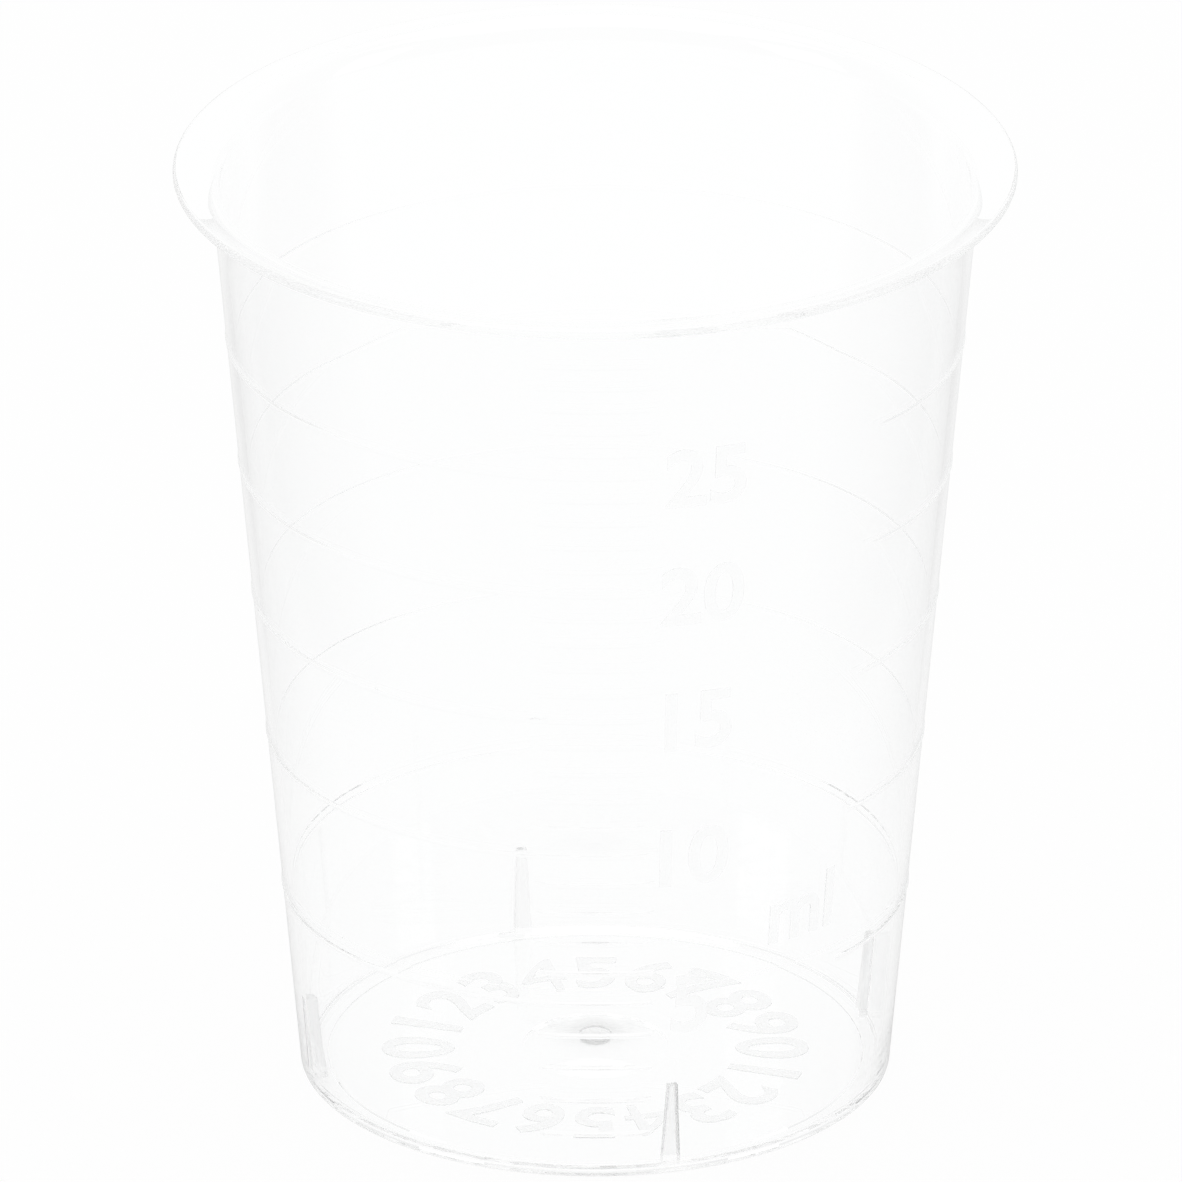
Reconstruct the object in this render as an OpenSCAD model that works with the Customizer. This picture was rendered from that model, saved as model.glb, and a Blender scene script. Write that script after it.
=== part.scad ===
// Graduated medicine cup, injection moulded in one piece from clear polypropylene.
// Origin at the centre of the foot, +Z up, scale on the -Y side. Millimetres.

/* [Body] */
// Height from the table to the top of the rim
cup_h = 44.6; // [41:0.1:50]
// Outer diameter of the wall at the foot
foot_d = 27.25; // [25:0.05:29]
// Outer diameter of the wall where its line meets the top of the rim
mouth_d = 35.25; // [33:0.05:38]
// Thickness of the wall above the inside step
wall_t = 0.4; // [0.35:0.05:0.6]

/* [Rim] */
// How far the rim stands out past the wall
rim_w = 1.65; // [1.4:0.05:2.5]
// Thickness of the rim
rim_t = 0.45; // [0.35:0.05:0.7]
// Radius of the bend under the rim
neck_r = 0.8; // [0.4:0.1:1]

/* [Base] */
// Thickness of the floor
floor_t = 0.32; // [0.28:0.02:0.8]
// Height of the foot ring under the floor
foot_h = 0.1; // [0.06:0.01:0.3]
// Width of the foot ring
foot_w = 1.2; // [0.8:0.1:2]
// Radius of the outer edge of the foot
foot_r = 0.1; // [0.05:0.05:0.4]
// Radius of the corner between the floor and the wall, inside
corner_r = 0.25; // [0.2:0.05:0.9]
// Diameter of the dome over the gate
dome_d = 7; // [5:0.5:9]
// Rise of the dome over the gate
dome_h = 0.8; // [0.6:0.05:1.2]
// Diameter of the gate stub left under the dome
gate_d = 1.4; // [0.8:0.1:2]
// Length of the gate stub
gate_l = 0.35; // [0.2:0.05:0.5]

/* [Stacking] */
// Number of ribs inside the foot that carry the next cup of a stack
rib_count = 4; // [3:1:6]
// Height of the rib tops above the table
rib_h = 4.5; // [3:0.1:6]
// Width of a rib at its top
rib_top_w = 0.45; // [0.3:0.05:0.7]
// Width of a rib at the floor
rib_foot_w = 0.9; // [0.7:0.05:1.4]
// How far a rib stands in from the wall
rib_in = 0.45; // [0.3:0.05:0.8]
// Turn of the first rib from the middle of the scale
rib_turn = 15; // [0:1:45]
// Height of the fine step inside the wall
step_h = 9.65; // [8:0.05:12]
// Width of the fine step
step_w = 0.05; // [0.03:0.01:0.08]

/* [Scale] */
// Largest marked volume in millilitres
scale_ml = 30; // [20:1:30]
// Volume between two rings in millilitres
ring_ml = 5; // [2:1:10]
// Largest volume that has a ring in millilitres
top_ring_ml = 25; // [10:1:25]
// Width of a raised line
line_w = 0.3; // [0.2:0.05:0.4]
// How far a line stands out from the wall
line_h = 0.05; // [0.04:0.01:0.12]
// Angle that a short line takes up
tick_deg = 18; // [10:1:30]
// Angle from the middle of the scale at which the rings start again after the numerals
label_deg = 51; // [30:1:80]

/* [Hidden] */
$fn = 180;
PP_CLEAR = [0.93, 0.94, 0.95, 0.55];
// Angle of the scale's middle about the axis
SCALE_AT = -90;
// How far a solid reaches into another, or a cut past a face
BITE = 0.1;

slope = (mouth_d - foot_d) / 2 / cup_h;
draft = atan(slope);
foot_rad = foot_d / 2;
rim_rad = mouth_d / 2 + rim_w;
floor_z = foot_h + floor_t;
// Height at which the bend under the rim starts
neck_z = cup_h - rim_t - neck_r;
// Wall thickness measured level
skin = wall_t / cos(draft);
dome_rad = (pow(dome_d / 2, 2) + pow(dome_h, 2)) / (2 * dome_h);
dome_z = floor_z + dome_h - dome_rad;

// Outer radius of the wall at height z
function outer(z) = foot_rad + slope * z;
// Inner radius of the wall at height z, above the step
function inner(z) = outer(z) - skin;
// Volume in a plain cone up to height z, for an inner radius r0 on the table's level
function cone_v(r0, z) = PI / (3 * slope) * (pow(r0 + slope * z, 3) - pow(r0 + slope * floor_z, 3));
// Height of volume v in the same cone
function cone_z(r0, v) = (pow(pow(r0 + slope * floor_z, 3) + 3 * slope * v / PI, 1 / 3) - r0) / slope;
// What the dome over the gate takes away, and what the thicker foot of the wall takes away
dome_v = PI * dome_h * (3 * pow(dome_d / 2, 2) + pow(dome_h, 2)) / 6;
step_v = cone_v(inner(0), step_h) - cone_v(inner(0) - step_w, step_h);
low_z = function (ml) cone_z(inner(0) - step_w, 1000 * ml + dome_v);
// Height of the mark for a volume in millilitres
function mark_z(ml) = low_z(ml) < step_h ? low_z(ml) : cone_z(inner(0), 1000 * ml + dome_v + step_v);
function has_ring(ml) = ml % ring_ml == 0 && ml <= top_ring_ml;
// Whether the wall still has room for the mark under the neck bend
function has_room(ml) = mark_z(ml) + line_w < neck_z;

// Half section of the outside: foot with its round edge, wall, neck bend and rim
module outside() {
    foot_x = outer(foot_r) - foot_r / cos(draft);
    neck_x = outer(neck_z) + neck_r / cos(draft);
    polygon([
        [0, 0], [foot_x, 0],
        [foot_x + foot_r * cos(draft), foot_r * (1 - sin(draft))],
        [outer(cup_h), cup_h], [0, cup_h]
    ]);
    translate([foot_x, foot_r]) circle(foot_r);
    translate([0, cup_h - rim_t]) square([rim_rad - rim_t / 2, rim_t]);
    translate([rim_rad - rim_t / 2, cup_h - rim_t / 2]) circle(rim_t / 2);
    difference() {
        polygon([
            [outer(neck_z) - BITE, neck_z - neck_r * sin(draft)],
            [neck_x - neck_r * cos(draft), neck_z - neck_r * sin(draft)],
            [neck_x, neck_z], [neck_x, cup_h - rim_t + BITE],
            [outer(neck_z) - BITE, cup_h - rim_t + BITE]
        ]);
        translate([neck_x, neck_z]) circle(neck_r);
    }
}

// Half section of the hollow: round floor corner, thicker foot with its step, wall and flared lip
module hollow() {
    low = inner(0) - step_w;
    corner_z = floor_z + corner_r;
    corner_x = low + slope * corner_z - corner_r / cos(draft);
    lip_r = neck_r + rim_t;
    lip_z = cup_h - lip_r;
    lip_x = inner(lip_z) + lip_r / cos(draft);
    polygon([
        [0, floor_z], [corner_x, floor_z],
        [corner_x + corner_r * cos(draft), corner_z - corner_r * sin(draft)],
        [low + slope * step_h, step_h], [inner(step_h), step_h + step_w],
        [inner(cup_h + BITE), cup_h + BITE], [0, cup_h + BITE]
    ]);
    translate([corner_x, corner_z]) circle(corner_r);
    difference() {
        polygon([
            [inner(lip_z) - BITE, lip_z - lip_r * sin(draft)],
            [lip_x - lip_r * cos(draft), lip_z - lip_r * sin(draft)],
            [lip_x, lip_z], [lip_x, cup_h + BITE], [inner(lip_z) - BITE, cup_h + BITE]
        ]);
        translate([lip_x, lip_z]) circle(lip_r);
    }
}

// Half of a round shape about the axis
module half_disc(r) {
    intersection() {
        circle(r);
        translate([0, -r]) square([r, 2 * r]);
    }
}

// Turned body with its foot ring, and the dome that keeps the gate clear of the table
module shell() {
    rotate_extrude() {
        difference() {
            outside();
            difference() {
                hollow();
                translate([0, dome_z]) half_disc(dome_rad);
            }
            translate([0, -BITE]) square([foot_rad - foot_w, foot_h + BITE]);
            translate([0, dome_z]) half_disc(dome_rad - floor_t);
        }
    }
}

// Stub of the gate, left short of the table
module gate() {
    top = floor_z + dome_h - floor_t;
    translate([0, 0, top - gate_l]) cylinder(h = gate_l + BITE, d = gate_d);
}

// Section of a raised line, with a round back, standing on the wall at height z
module line_section(z) {
    back_r = (pow(line_w / 2, 2) + pow(line_h, 2)) / (2 * line_h);
    translate([outer(z), z]) rotate(-draft) intersection() {
        translate([line_h - back_r, 0]) circle(back_r);
        translate([-BITE, -line_w]) square([BITE + line_h, 2 * line_w]);
    }
}

// Raised line along the wall, from one angle about the axis to another
module line(z, from, to) {
    rotate([0, 0, from]) rotate_extrude(angle = to - from) line_section(z);
}

// Rings for the round volumes, open where the numerals stand, and short lines between them
module scale_lines() {
    tick_end = SCALE_AT + tick_deg / 2;
    for (ml = [1 : scale_ml]) if (has_room(ml)) {
        if (has_ring(ml)) line(mark_z(ml), SCALE_AT + label_deg, tick_end + 360);
        else line(mark_z(ml), tick_end - tick_deg, tick_end);
    }
}

// Upright rib inside the foot, wider towards the floor, its face parallel to the wall
module rib() {
    base_z = floor_z - BITE;
    intersection() {
        rotate([90, 0, 90]) linear_extrude(foot_rad + rib_h) polygon([
            [-rib_foot_w / 2, base_z], [rib_foot_w / 2, base_z],
            [rib_top_w / 2, rib_h], [-rib_top_w / 2, rib_h]
        ]);
        rotate_extrude() polygon([
            [inner(base_z) - step_w - rib_in, base_z], [outer(base_z) - BITE, base_z],
            [outer(rib_h) - BITE, rib_h], [inner(rib_h) - step_w - rib_in, rib_h]
        ]);
    }
}

module stacking_ribs() {
    for (i = [0 : rib_count - 1]) rotate([0, 0, SCALE_AT + rib_turn + i * 360 / rib_count]) rib();
}

module cup() {
    color(PP_CLEAR) {
        shell();
        gate();
        stacking_ribs();
        scale_lines();
    }
}

cup();
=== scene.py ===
import math

import bpy
from mathutils import Euler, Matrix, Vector


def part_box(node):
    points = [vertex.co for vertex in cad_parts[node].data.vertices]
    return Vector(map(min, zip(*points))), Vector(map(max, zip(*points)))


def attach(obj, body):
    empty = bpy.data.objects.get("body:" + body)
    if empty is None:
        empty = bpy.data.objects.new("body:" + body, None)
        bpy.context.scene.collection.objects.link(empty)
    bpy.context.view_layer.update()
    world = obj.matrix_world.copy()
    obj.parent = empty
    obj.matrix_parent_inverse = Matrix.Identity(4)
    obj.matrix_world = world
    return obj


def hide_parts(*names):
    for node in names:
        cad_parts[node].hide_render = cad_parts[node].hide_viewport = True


# Graduated medicine cup, moulded in one piece from clear polypropylene, on a white table.
# Metres, origin at the centre of the foot, +Z up, the volume scale on the -Y side.

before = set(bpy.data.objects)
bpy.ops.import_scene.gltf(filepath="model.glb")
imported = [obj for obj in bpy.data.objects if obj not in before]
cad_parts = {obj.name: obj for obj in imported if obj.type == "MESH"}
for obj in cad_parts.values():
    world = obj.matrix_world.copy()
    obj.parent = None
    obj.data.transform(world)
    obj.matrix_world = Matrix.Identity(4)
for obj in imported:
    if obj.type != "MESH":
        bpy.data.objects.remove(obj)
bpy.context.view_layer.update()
low_corner, high_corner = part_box("cup")

MM = 0.001

# Body, in the sizes of the part's source
CUP_H = high_corner.z
RIM_RAD = (high_corner.x - low_corner.x) / 2
FOOT_RAD = 13.625 * MM
MOUTH_RAD = 17.625 * MM
WALL = 0.4 * MM
RIM_T = 0.45 * MM
NECK_R = 0.8 * MM
FLOOR_T = 0.32 * MM
FOOT_H = 0.1 * MM
FOOT_W = 1.2 * MM
FOOT_R = 0.1 * MM
CORNER_R = 0.25 * MM
DOME_RISE = 0.8 * MM
DOME_HALF = 3.5 * MM
GATE_RAD = 0.7 * MM
GATE_L = 0.35 * MM
STEP_H = 9.65 * MM
STEP_W = 0.05 * MM

# Underside: flat share of the gate stub's end, depth of its edge, and lean of the foot ring's inside
GATE_FLAT = 0.7
GATE_EDGE = 0.06 * MM
FOOT_LEAN = 0.05 * MM

# Stacking ribs inside the foot
RIB_COUNT = 4
RIB_H = 4.5 * MM
RIB_TOP_W = 0.45 * MM
RIB_FOOT_W = 0.9 * MM
RIB_IN = 0.45 * MM
RIB_TURN = math.radians(15)
RIB_EDGE = 0.2 * MM

# Volume scale
SCALE_ML = 30
RING_ML = 5
TOP_RING_ML = 25
LINE_W = 0.3 * MM
LINE_H = 0.05 * MM
SCALE_AT = math.radians(-90)
TICK_HALF = math.radians(9)
LABEL_END = math.radians(51)

# A raised line's edge loops as shares of its width, and which of them stand out by which share of its height
LINE_LOOPS = (-0.5, -0.25, 0, 0.25, 0.5)
LINE_BACK = (((1, 3), 0.75), ((2,), 1.0))

# Numerals on the wall, their middle turned from the middle of the scale
DIGIT_H = 3.0 * MM
DIGIT_AT = math.radians(17.4)
DIGIT_DROP = 0.2 * MM
DIGIT_BOLD = 0.018
UNIT_AT = math.radians(40)
UNIT_FOOT_Z = 11.1 * MM
RELIEF = 0.035 * MM
SUNK = 0.06 * MM
CURVE_STEPS = 6
CUT_EVERY = 0.4 * MM

# Ring of plain figures under the floor, from 0 to 9 twice
DIAL_COUNT = 20
DIAL_RAD = 8.2 * MM
DIAL_DIGIT_H = 3.4 * MM
DIAL_RELIEF = 0.06 * MM

# Matt places: how far the gate's matt spot fades out, and how matt it, the figures and the ribs are
GATE_MATT = (0, 3.2 * MM)
GATE_ROUGH = 0.28
FIGURE_MATT = 0.2
RIB_MATT = 0.3

# Borders of the matt places: over the wall, under the neck, beside the lines, round the dial and at the ribs
FIGURE_OUT = (0.01 * MM, 0.03 * MM)
FIGURE_TOP = (42 * MM, 42.5 * MM)
TURN_FADE = 0.02
DIAL_OUT = (11 * MM, 12 * MM)
RIB_FRONT_FADE = (0.02 * MM, 0.05 * MM)
RIB_LOW_FADE = (0, 0.05 * MM)
RIB_END_FADE = (0.05 * MM, 0.1 * MM)

# Plastic: how it bends light, and the size and the two tints of its haze
PLASTIC_IOR = 1.49
HAZE_SCALE = 120
HAZE_DETAIL = 2
HAZE_TINTS = ((0.996, 0.998, 0.998, 1), (0.998, 0.9995, 0.9995, 1))

# Mesh: sides of the turned body, steps of its arcs and straight runs, and further edge loops in millimetres
SIDES = 240
DOME_STEPS = 16
FLOOR_STEPS = 8
ROUND_STEPS = 8
RECESS_STEPS = 2
FOOT_STEPS = 3
NECK_STEPS = 14
EDGE_STEPS = 12
LIP_STEPS = 18
RIB_EDGE_STEPS = 5
OUTSIDE_ROWS = (1, 2, 43)
INSIDE_ROWS = range(41, 10, -2)
INSIDE_LOW_ROWS = (9, 7, 5, 3)
SMOOTH_UNDER = math.radians(30)

# Allowances: for an angle, for a length, for a solid that reaches into another, and for points that merge
HAIR = math.radians(0.1)
NEAR = 0.01 * MM
BITE = 0.1 * MM
CLOSE = 0.0005 * MM

# Studio: levels against white, where the table behind the cup and aside of it turns grey for the cup,
# and the hair of air under the foot, so that the two faces don't lie in one plane
TABLE_PAINT = 0.76
TABLE_ROUGH = 0.9
SEEN_PLAIN = 0.97
SEEN_MIRRORED = 0.25
ASIDE = (0.018, 0.042)
BEHIND = (-0.02, 0.03)
FAR = (0.07, 0.1)
ROOM = 0.86
ROOM_BACK = (0.2, 0.7)
TABLE_GAP = 0.01 * MM
TABLE_RAD = 0.9
TABLE_SIDES = 96

# Lamps: name, place, width and height, power
LAMPS = (
    ("top_light", (0, 0.15, 0.9), (0.7, 0.7), 1.0),
    ("left_light", (-0.8, -0.3, 0.5), (0.4, 0.6), 0.5),
    ("right_light", (0.8, -0.2, 0.45), (0.3, 0.6), 0.3),
)

# Camera: its aim in millimetres, how high and how far off it stands, its lens, and how near and far it sees
CAMERA_AIM = (-0.194, 0.382, 23.16)
CAMERA_RISE = math.radians(23.926)
CAMERA_FAR = 1.1562
SENSOR = 36
LENS = 766.2
CAMERA_CLIP = (0.05, 10)

# Light turns many times inside the rim before it comes out
BOUNCES = 1024

SLOPE = (MOUTH_RAD - FOOT_RAD) / CUP_H
DRAFT = math.atan(SLOPE)
SKIN = WALL / math.cos(DRAFT)
FLOOR_Z = FOOT_H + FLOOR_T
DOME_R = (DOME_HALF ** 2 + DOME_RISE ** 2) / (2 * DOME_RISE)
DOME_Z = FLOOR_Z + DOME_RISE - DOME_R


def outer(z):
    """Outer radius of the wall at height z."""
    return FOOT_RAD + SLOPE * z


def inner(z):
    """Inner radius of the wall at height z, above the step."""
    return outer(z) - SKIN


def cone_volume(base_radius, z):
    """Volume of the plain hollow from the floor to height z."""
    tip = (base_radius + SLOPE * z) ** 3 - (base_radius + SLOPE * FLOOR_Z) ** 3
    return math.pi / (3 * SLOPE) * tip


def cone_height(base_radius, volume):
    """Height up to which the plain hollow holds a volume."""
    start = (base_radius + SLOPE * FLOOR_Z) ** 3
    return ((start + 3 * SLOPE * volume / math.pi) ** (1 / 3) - base_radius) / SLOPE


def mark_z(millilitres):
    """Height of the mark for a volume, with the dome and the thicker foot of the wall taken off."""
    dome = math.pi * DOME_RISE * (3 * DOME_HALF ** 2 + DOME_RISE ** 2) / 6
    step = cone_volume(inner(0), STEP_H) - cone_volume(inner(0) - STEP_W, STEP_H)
    wanted = millilitres * MM ** 2 + dome
    low = cone_height(inner(0) - STEP_W, wanted)
    return low if low < STEP_H else cone_height(inner(0), wanted + step)


def has_ring(millilitres):
    """Whether a volume has a ring, and not only a short line."""
    return millilitres % RING_ML == 0 and millilitres <= TOP_RING_ML


def deselect():
    bpy.ops.object.select_all(action="DESELECT")


def choose(piece):
    """Selects one piece alone and makes it the active one."""
    deselect()
    bpy.context.view_layer.objects.active = piece
    piece.select_set(True)


def enter(piece):
    """Edit mode on one piece alone."""
    choose(piece)
    bpy.ops.object.mode_set(mode="EDIT")


def leave():
    bpy.ops.object.mode_set(mode="OBJECT")


def pick(piece, wanted):
    """Selects, in edit mode, the vertices whose place passes the test."""
    bpy.ops.mesh.select_mode(type="VERT")
    bpy.ops.mesh.select_all(action="DESELECT")
    leave()
    for vertex in piece.data.vertices:
        vertex.select = wanted(vertex.co)
    bpy.ops.object.mode_set(mode="EDIT")


def face_out():
    """Turns every face of the piece in edit mode outwards, and leaves edit mode."""
    bpy.ops.mesh.select_all(action="SELECT")
    bpy.ops.mesh.normals_make_consistent(inside=False)
    leave()


def added(name):
    """The object that the last operator made, named, with its place put into its mesh."""
    piece = bpy.context.object
    piece.name = name
    piece.data.name = name
    bpy.ops.object.transform_apply(location=True, rotation=True, scale=True)
    return piece


def arc(centre_r, centre_z, radius, start, end, steps):
    """Points of an arc in the half section, angles in degrees from the radial direction."""
    angles = [math.radians(start + (end - start) * i / steps) for i in range(steps + 1)]
    return [(centre_r + radius * math.cos(a), centre_z + radius * math.sin(a)) for a in angles]


def straight(start, end, steps):
    """Points between two places of the half section, without the first."""
    shares = [i / steps for i in range(1, steps + 1)]
    return [tuple(a + (b - a) * s for a, b in zip(start, end)) for s in shares]


def underside():
    """Half section from the middle of the gate stub to the round edge of the foot."""
    under_r = DOME_R - FLOOR_T
    gate_top = DOME_Z + math.sqrt(under_r ** 2 - GATE_RAD ** 2)
    gate_z = FLOOR_Z + DOME_RISE - FLOOR_T - GATE_L
    start = math.degrees(math.atan2(gate_top - DOME_Z, GATE_RAD))
    end = math.degrees(math.asin((FOOT_H - DOME_Z) / under_r))
    recess = (FOOT_RAD - FOOT_W, FOOT_H)
    foot_r = outer(FOOT_R) - FOOT_R / math.cos(DRAFT)
    points = [(0, gate_z), (GATE_RAD * GATE_FLAT, gate_z), (GATE_RAD, gate_z + GATE_EDGE)]
    dome = arc(0, DOME_Z, under_r, start, end, DOME_STEPS)
    points += dome + straight(dome[-1], recess, FLOOR_STEPS)
    points += straight(recess, (recess[0] + FOOT_LEAN, 0), RECESS_STEPS)
    points += straight(points[-1], (foot_r, 0), FOOT_STEPS)
    return points + arc(foot_r, FOOT_R, FOOT_R, -90, -math.degrees(DRAFT), ROUND_STEPS)[1:]


def line_rows(z):
    """Heights of the edge loops that a raised line needs, from its lower edge to its upper."""
    return [z + LINE_W * math.cos(DRAFT) * share for share in LINE_LOOPS]


def outside_wall():
    """Half section of the wall, with the edge loops of every line of the scale."""
    rows = [z for ml in range(1, SCALE_ML + 1) for z in line_rows(mark_z(ml))]
    rows += [z * MM for z in OUTSIDE_ROWS]
    return [(outer(z), z) for z in sorted(rows)]


def rim_section():
    """Half section from the bend under the rim, round its edge, and down the flared lip."""
    tilt = math.degrees(DRAFT)
    neck_z = CUP_H - RIM_T - NECK_R
    neck_x = outer(neck_z) + NECK_R / math.cos(DRAFT)
    edge_r = RIM_RAD - RIM_T / 2
    lip_r = NECK_R + RIM_T
    lip_z = CUP_H - lip_r
    lip_x = inner(lip_z) + lip_r / math.cos(DRAFT)
    points = arc(neck_x, neck_z, NECK_R, 180 - tilt, 90, NECK_STEPS)
    points += arc(edge_r, CUP_H - RIM_T / 2, RIM_T / 2, -90, 90, EDGE_STEPS)
    return points + arc(lip_x, lip_z, lip_r, 90, 180 - tilt, LIP_STEPS)


def inside():
    """Half section of the hollow: the wall, its fine step, the round floor corner and the dome."""
    low = inner(0) - STEP_W
    corner_z = FLOOR_Z + CORNER_R
    corner_x = low + SLOPE * corner_z - CORNER_R / math.cos(DRAFT)
    points = [(inner(z * MM), z * MM) for z in INSIDE_ROWS]
    points += [(inner(STEP_H), STEP_H + STEP_W), (low + SLOPE * STEP_H, STEP_H)]
    points += [(low + SLOPE * z * MM, z * MM) for z in INSIDE_LOW_ROWS]
    points += arc(corner_x, corner_z, CORNER_R, -math.degrees(DRAFT), -90, ROUND_STEPS)
    dome_start = math.degrees(math.asin((FLOOR_Z - DOME_Z) / DOME_R))
    dome = arc(0, DOME_Z, DOME_R, dome_start, 90, DOME_STEPS)
    points += straight(points[-1], dome[0], FLOOR_STEPS)
    return points + dome[1:-1] + [(0, FLOOR_Z + DOME_RISE)]


def turned(name, section):
    """A solid drawn point by point as its half section, then spun about the axis."""
    first = (section[0][0], 0, section[0][1])
    deselect()
    bpy.ops.mesh.primitive_plane_add(size=MM, location=first)
    piece = added(name)
    enter(piece)
    bpy.ops.mesh.merge(type="CENTER")
    for here, there in zip(section, section[1:]):
        move = (there[0] - here[0], 0, there[1] - here[1])
        bpy.ops.mesh.extrude_vertices_move(TRANSFORM_OT_translate={"value": move})
    bpy.ops.mesh.select_all(action="SELECT")
    bpy.ops.mesh.spin(steps=SIDES, angle=math.tau, center=(0, 0, 0), axis=(0, 0, 1))
    bpy.ops.mesh.select_all(action="SELECT")
    bpy.ops.mesh.remove_doubles(threshold=CLOSE)
    face_out()
    return piece


def turn_from_scale(place):
    """Angle of a place about the axis, from the middle of the scale, from 0 to a full turn."""
    return (math.atan2(place.y, place.x) - SCALE_AT) % math.tau


def on_line(place, millilitres, spare):
    """Whether a place lies along the arc of a volume's mark, or a spare angle past its ends."""
    turn = turn_from_scale(place)
    near = turn < TICK_HALF + spare or turn > math.tau - TICK_HALF - spare
    return near or has_ring(millilitres) and turn > LABEL_END - spare


def raise_lines(body):
    """Pushes the middle loops of every mark out of the wall, into lines with a round back."""
    marks = {ml: line_rows(mark_z(ml)) for ml in range(1, SCALE_ML + 1)}
    enter(body)
    for rows, share in LINE_BACK:
        heights = [(ml, marks[ml][row]) for ml in marks for row in rows]

        def raised(place):
            if abs(math.hypot(place.x, place.y) - outer(place.z)) > NEAR:
                return False
            return any(abs(place.z - z) < NEAR and on_line(place, ml, HAIR) for ml, z in heights)

        pick(body, raised)
        bpy.ops.transform.shrink_fatten(value=LINE_H * share)
    leave()


def crease_lines(body):
    """Marks the borders of the raised lines as sharp, so that the wall beside them stays plain."""
    half = LINE_W * math.cos(DRAFT) / 2
    marks = [(ml, mark_z(ml)) for ml in range(1, SCALE_ML + 1)]
    ramp = math.tau / SIDES - HAIR
    enter(body)
    bpy.ops.mesh.select_mode(type="FACE")
    bpy.ops.mesh.select_all(action="DESELECT")
    leave()
    for face in body.data.polygons:
        place = face.center
        if math.hypot(place.x, place.y) < outer(place.z) - NEAR:
            continue
        face.select = any(abs(place.z - z) < half and on_line(place, ml, ramp) for ml, z in marks)
    enter(body)
    bpy.ops.mesh.region_to_loop()
    bpy.ops.mesh.mark_sharp()
    leave()


def rib(name, turn):
    """Upright rib inside the foot, wider towards the floor, its face parallel to the wall."""
    foot_z = FLOOR_Z - BITE
    deselect()
    bpy.ops.mesh.primitive_cube_add(size=1, location=(0, 0, 0.5))
    piece = added(name)
    for vertex in piece.data.vertices:
        top = vertex.co.z > 0.5
        z = RIB_H if top else foot_z
        out = outer(z) - BITE if vertex.co.x > 0 else inner(z) - STEP_W - RIB_IN
        width = RIB_TOP_W if top else RIB_FOOT_W
        vertex.co = Vector((out, math.copysign(width / 2, vertex.co.y), z))
    enter(piece)
    pick(piece, lambda place: math.hypot(place.x, place.y) < inner(place.z) - STEP_W)
    bpy.ops.mesh.bevel(offset=RIB_EDGE, segments=RIB_EDGE_STEPS, affect="EDGES")
    face_out()
    piece.data.transform(Euler((0, 0, SCALE_AT + turn)).to_matrix().to_4x4())
    return piece


def lettering(name, text, height, relief):
    """Flat raised figures in the XY plane, as one closed mesh, cut across so that they can be bent."""
    deselect()
    bpy.ops.object.text_add(location=(0, 0, 0))
    text_object = bpy.context.object
    text_object.data.body = text
    text_object.data.align_x = "CENTER"
    text_object.data.resolution_u = CURVE_STEPS
    # A bold 4 would cross itself at its inner tip
    text_object.data.offset = 0 if text == "4" else DIGIT_BOLD
    text_object.data.extrude = 1
    bpy.ops.object.convert(target="MESH")
    piece = added(name)
    low = [min(v.co[i] for v in piece.data.vertices) for i in range(2)]
    high = [max(v.co[i] for v in piece.data.vertices) for i in range(2)]
    scale = height / (high[1] - low[1])
    for vertex in piece.data.vertices:
        x = (vertex.co.x - (low[0] + high[0]) / 2) * scale
        y = (vertex.co.y - (low[1] + high[1]) / 2) * scale
        vertex.co = Vector((x, y, relief if vertex.co.z > 0 else -SUNK))
    enter(piece)
    bpy.ops.mesh.select_all(action="SELECT")
    bpy.ops.mesh.remove_doubles(threshold=CLOSE)
    width = (high[0] - low[0]) * scale
    cuts = max(2, round(width / CUT_EVERY))
    for i in range(1, cuts):
        bpy.ops.mesh.select_all(action="SELECT")
        place = (-width / 2 + width * i / cuts, 0, 0)
        bpy.ops.mesh.bisect(plane_co=place, plane_no=(1, 0, 0))
    face_out()
    return piece


def onto_wall(piece, turn, middle_z):
    """Wraps flat figures round the outside of the wall."""
    wall_r = outer(middle_z)
    for vertex in piece.data.vertices:
        z = middle_z + vertex.co.y * math.cos(DRAFT)
        angle = SCALE_AT + turn + vertex.co.x / wall_r
        r = outer(z) + vertex.co.z
        vertex.co = Vector((r * math.cos(angle), r * math.sin(angle), z))
    return piece


def under_floor(piece, turn):
    """Lays flat figures on the underside of the floor, their feet towards the axis."""
    for vertex in piece.data.vertices:
        r = DIAL_RAD + vertex.co.y
        angle = turn - vertex.co.x / DIAL_RAD
        vertex.co = Vector((r * math.cos(angle), r * math.sin(angle), FOOT_H - vertex.co.z))
    enter(piece)
    face_out()
    return piece


def figures():
    """Every raised figure: the volumes beside their rings, the unit, and the figures under the floor."""
    pieces = []
    for ml in range(RING_ML, TOP_RING_ML + 1, RING_ML):
        number = lettering(f"volume_{ml}", str(ml), DIGIT_H, RELIEF)
        pieces.append(onto_wall(number, DIGIT_AT, mark_z(ml) - DIGIT_DROP))
    unit = lettering("unit", "ml", DIGIT_H, RELIEF)
    pieces.append(onto_wall(unit, UNIT_AT, UNIT_FOOT_Z + DIGIT_H / 2))
    for i in range(DIAL_COUNT):
        number = lettering(f"dial_{i}", str(i % 10), DIAL_DIGIT_H, DIAL_RELIEF)
        pieces.append(under_floor(number, -math.tau * i / DIAL_COUNT))
    return pieces


def joined(pieces):
    """All the pieces as one object."""
    deselect()
    for piece in pieces:
        piece.select_set(True)
    bpy.context.view_layer.objects.active = pieces[0]
    bpy.ops.object.join()
    return bpy.context.object


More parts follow.
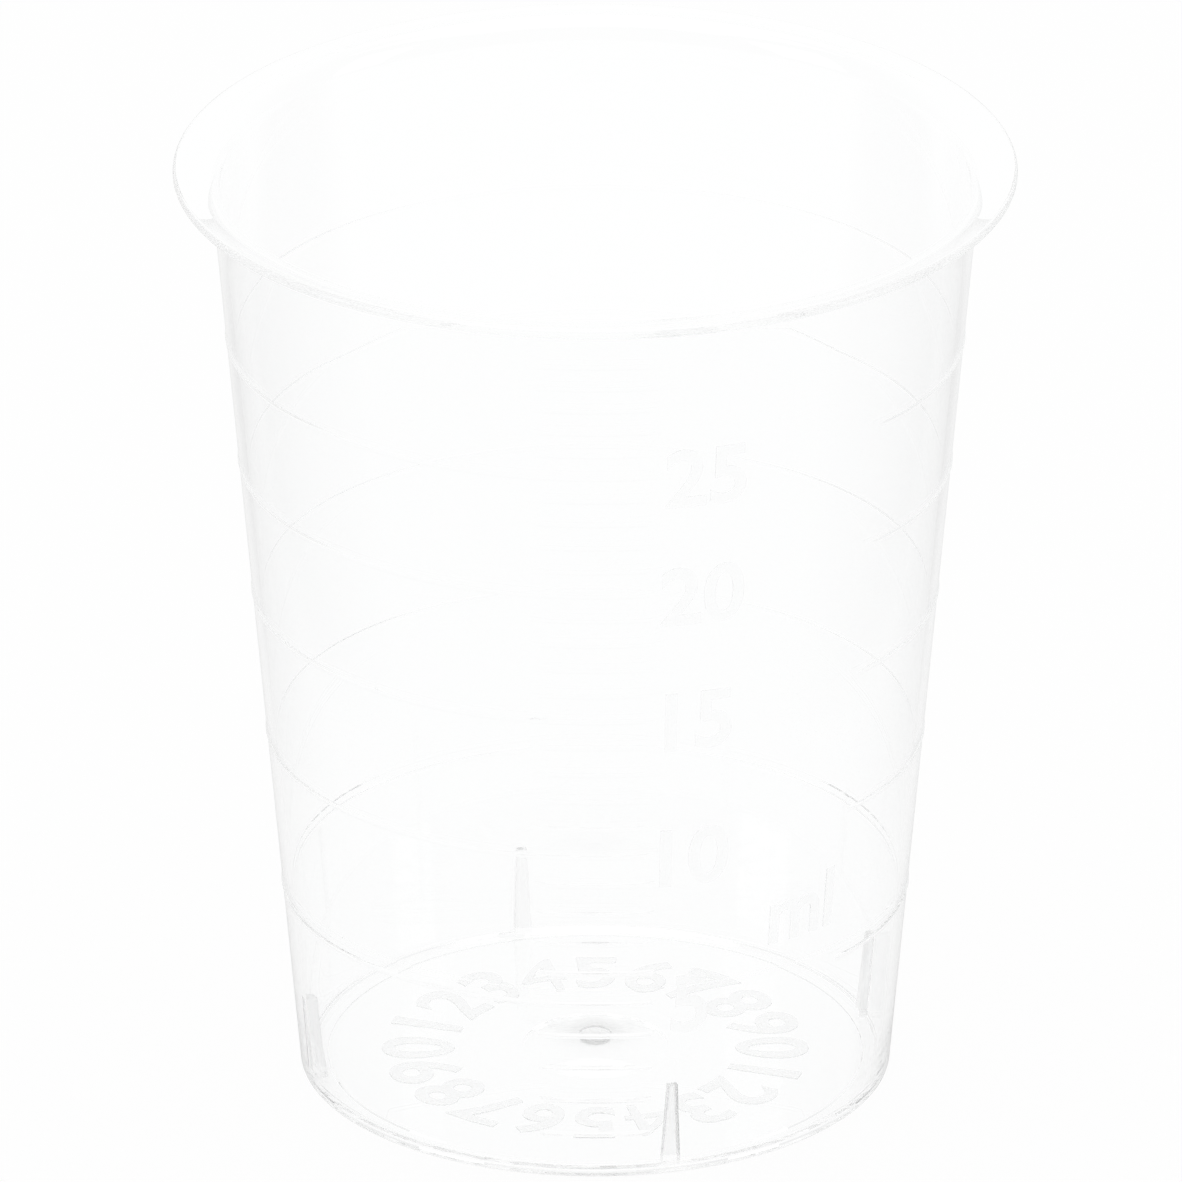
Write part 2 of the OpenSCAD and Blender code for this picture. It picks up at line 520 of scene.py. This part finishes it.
def fuse(body, tool):
    """Makes a piece part of the body's own skin."""
    choose(body)
    union = body.modifiers.new("fuse", "BOOLEAN")
    union.operation = "UNION"
    union.solver = "MANIFOLD"
    union.object = tool
    bpy.ops.object.modifier_apply(modifier=union.name)
    bpy.data.objects.remove(tool)


def reckon(tree, operation, first, second):
    """Math node on two values, each a number or the output of another node, kept from 0 to 1."""
    node = tree.nodes.new("ShaderNodeMath")
    node.operation = operation
    node.use_clamp = True
    for socket, value in zip(node.inputs, (first, second)):
        if isinstance(value, (int, float)):
            socket.default_value = value
        else:
            tree.links.new(value, socket)
    return node.outputs["Value"]


def product(tree, first, *others):
    """Values multiplied with each other, one after the other."""
    for value in others:
        first = reckon(tree, "MULTIPLY", first, value)
    return first


def eased(tree, value, start_end, low_high):
    """Soft step of a value from one level to another."""
    node = tree.nodes.new("ShaderNodeMapRange")
    node.interpolation_type = "SMOOTHSTEP"
    for name, number in zip(("From Min", "From Max", "To Min", "To Max"), start_end + low_high):
        node.inputs[name].default_value = number
    tree.links.new(value, node.inputs["Value"])
    return node.outputs["Result"]


def rising(tree, value, start_end):
    """Soft step from 0 up to 1."""
    return eased(tree, value, start_end, (0, 1))


def falling(tree, value, start_end):
    """Soft step from 1 down to 0."""
    return eased(tree, value, start_end, (1, 0))


def axes_of(tree, place):
    """The three parts of a place."""
    axes = tree.nodes.new("ShaderNodeSeparateXYZ")
    tree.links.new(place, axes.inputs["Vector"])
    return axes.outputs


def axis_distance(tree, place):
    """Distance of a place from the cup's axis."""
    level = tree.nodes.new("ShaderNodeVectorMath")
    level.operation = "MULTIPLY"
    level.inputs[1].default_value = (1, 1, 0)
    tree.links.new(place, level.inputs[0])
    length = tree.nodes.new("ShaderNodeVectorMath")
    length.operation = "LENGTH"
    tree.links.new(level.outputs["Vector"], length.inputs[0])
    return length.outputs["Value"]


def past(start, fade):
    """Borders of a soft step that lies a little past a place."""
    return tuple(start + step for step in fade)


def matt_places(tree, place):
    """How matt each place is: the middle of the dome over the gate, the figures and the stacking ribs."""
    x, y, z = axes_of(tree, place)
    radius = axis_distance(tree, place)
    wall_radius = reckon(tree, "ADD", product(tree, z, SLOPE), FOOT_RAD)

    relief = reckon(tree, "SUBTRACT", radius, wall_radius)
    faces = rising(tree, relief, FIGURE_OUT)
    below_neck = falling(tree, z, FIGURE_TOP)
    turn = reckon(tree, "ARCTAN2", x, product(tree, y, -1))
    past_lines = rising(tree, turn, (TICK_HALF, TICK_HALF + TURN_FADE))
    before_rings = falling(tree, turn, (LABEL_END - TURN_FADE, LABEL_END))
    numerals = product(tree, faces, below_neck, product(tree, past_lines, before_rings))

    dial_low = falling(tree, z, (FOOT_H - DIAL_RELIEF + NEAR, FOOT_H - NEAR))
    dial = product(tree, dial_low, falling(tree, radius, DIAL_OUT))

    depth = reckon(tree, "SUBTRACT", wall_radius, radius)
    rib_front = rising(tree, depth, past(SKIN + STEP_W, RIB_FRONT_FADE))
    rib_back = falling(tree, depth, past(SKIN + STEP_W + RIB_IN, RIB_END_FADE))
    rib_low = rising(tree, z, past(FLOOR_Z + CORNER_R, RIB_LOW_FADE))
    rib_high = falling(tree, z, past(RIB_H, RIB_END_FADE))
    ribs = product(tree, rib_front, rib_back, product(tree, rib_low, rib_high))

    raised = product(tree, reckon(tree, "ADD", numerals, dial), FIGURE_MATT)
    raised_and_ribs = reckon(tree, "ADD", raised, product(tree, ribs, RIB_MATT))
    spot = product(tree, falling(tree, radius, GATE_MATT), GATE_ROUGH)
    return reckon(tree, "ADD", spot, raised_and_ribs)


def new_material(name):
    """A material with nodes, and its node tree."""
    material = bpy.data.materials.new(name)
    material.use_nodes = True
    return material, material.node_tree


def clear_polypropylene():
    """Clear moulded polypropylene: glossy, a little cloudy, and matt at the gate, figures and ribs."""
    material, tree = new_material("clear_polypropylene")
    link = tree.links.new
    shader = tree.nodes["Principled BSDF"]
    shader.inputs["IOR"].default_value = PLASTIC_IOR
    shader.inputs["Transmission Weight"].default_value = 1.0
    place = tree.nodes.new("ShaderNodeTexCoord").outputs["Object"]
    link(matt_places(tree, place), shader.inputs["Roughness"])

    haze = tree.nodes.new("ShaderNodeTexNoise")
    haze.inputs["Scale"].default_value = HAZE_SCALE
    haze.inputs["Detail"].default_value = HAZE_DETAIL
    link(place, haze.inputs["Vector"])
    tint = tree.nodes.new("ShaderNodeMix")
    tint.data_type = "RGBA"
    tint.inputs["A"].default_value, tint.inputs["B"].default_value = HAZE_TINTS
    link(haze.outputs["Fac"], tint.inputs["Factor"])
    link(tint.outputs["Result"], shader.inputs["Base Color"])
    return material


def table_white():
    """White table: lit matt paint that keeps the shadow, seen as white, and through the cup white near it."""
    material, tree = new_material("table_white")
    link = tree.links.new
    paint = tree.nodes["Principled BSDF"]
    paint.inputs["Base Color"].default_value = (TABLE_PAINT, TABLE_PAINT, TABLE_PAINT, 1)
    paint.inputs["Roughness"].default_value = TABLE_ROUGH

    x, y, _ = axes_of(tree, tree.nodes.new("ShaderNodeTexCoord").outputs["Object"])
    aside = rising(tree, reckon(tree, "ABSOLUTE", x, 0), ASIDE)
    behind = rising(tree, y, BEHIND)
    grey_side = product(tree, aside, product(tree, behind, falling(tree, y, FAR)))
    white_side = reckon(tree, "SUBTRACT", 1, grey_side)

    path = tree.nodes.new("ShaderNodeLightPath").outputs
    straight_on = product(tree, path["Is Camera Ray"], SEEN_PLAIN)
    through = product(tree, path["Is Transmission Ray"], white_side)
    mirrored = product(tree, path["Is Glossy Ray"], SEEN_MIRRORED)
    share = reckon(tree, "ADD", straight_on, reckon(tree, "ADD", through, mirrored))

    glow = tree.nodes.new("ShaderNodeEmission")
    glow.inputs["Color"].default_value = (1, 1, 1, 1)
    glow.inputs["Strength"].default_value = 1
    mix = tree.nodes.new("ShaderNodeMixShader")
    link(share, mix.inputs["Fac"])
    link(paint.outputs["BSDF"], mix.inputs[1])
    link(glow.outputs["Emission"], mix.inputs[2])
    link(mix.outputs["Shader"], tree.nodes["Material Output"].inputs["Surface"])
    return material


def table():
    """Round table that fills the picture, a hair under the foot."""
    deselect()
    place = (0, 0, -TABLE_GAP)
    bpy.ops.mesh.primitive_circle_add(
        vertices=TABLE_SIDES, radius=TABLE_RAD, fill_type="NGON", location=place)
    top = added("table_top")
    top.data.materials.append(table_white())


def soft_light(name, place, size, power):
    """Soft rectangular lamp that shines at the middle of the cup."""
    bpy.ops.object.light_add(type="AREA", location=place)
    light = bpy.context.object
    light.name = name
    light.data.shape = "RECTANGLE"
    light.data.size, light.data.size_y = size
    light.data.energy = power
    middle = Vector((0, 0, CUP_H / 2))
    light.rotation_euler = (middle - Vector(place)).to_track_quat("-Z", "Y").to_euler()


def studio():
    """Big soft lights above and at the sides, and a pale room that the edges of the cup mirror."""
    for lamp in LAMPS:
        soft_light(*lamp)
    world = bpy.data.worlds.new("studio_room")
    bpy.context.scene.world = world
    world.use_nodes = True
    tree = world.node_tree
    _, y, _ = axes_of(tree, tree.nodes.new("ShaderNodeTexCoord").outputs["Generated"])
    behind = eased(tree, y, ROOM_BACK, (ROOM, 1))
    seen = tree.nodes.new("ShaderNodeLightPath").outputs["Is Camera Ray"]
    background = tree.nodes["Background"]
    tree.links.new(reckon(tree, "MAXIMUM", behind, seen), background.inputs["Color"])
    background.inputs["Strength"].default_value = 1


def camera():
    """The photograph's view: from the front, from far off with a long lens, looking down at the cup."""
    aim = Vector(CAMERA_AIM) * MM
    back = Vector((0, -math.cos(CAMERA_RISE), math.sin(CAMERA_RISE)))
    place = aim + back * CAMERA_FAR
    bpy.ops.object.camera_add(location=place)
    view = bpy.context.object
    view.name = "photo_view"
    view.rotation_euler = (aim - place).to_track_quat("-Z", "Y").to_euler()
    view.data.sensor_width = SENSOR
    view.data.lens = LENS
    view.data.clip_start, view.data.clip_end = CAMERA_CLIP
    bpy.context.scene.camera = view


def cup():
    """The cup: turned body, raised lines, ribs and figures in one skin, with its plastic."""
    body = turned("cup_body", underside() + outside_wall() + rim_section() + inside())
    raise_lines(body)
    ribs = [rib(f"rib_{i}", RIB_TURN + math.tau * i / RIB_COUNT) for i in range(RIB_COUNT)]
    fuse(body, joined(ribs))
    fuse(body, joined(figures()))
    crease_lines(body)
    choose(body)
    bpy.ops.object.shade_smooth_by_angle(angle=SMOOTH_UNDER)
    body.data.materials.clear()
    body.data.materials.append(clear_polypropylene())
    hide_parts("cup")
    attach(body, "root")


deselect()
camera()
cup()
table()
studio()

scene = bpy.context.scene
scene.view_settings.view_transform = "Standard"
scene.cycles.max_bounces = BOUNCES
scene.cycles.glossy_bounces = BOUNCES
scene.cycles.transmission_bounces = BOUNCES

bpy.context.view_layer.update()
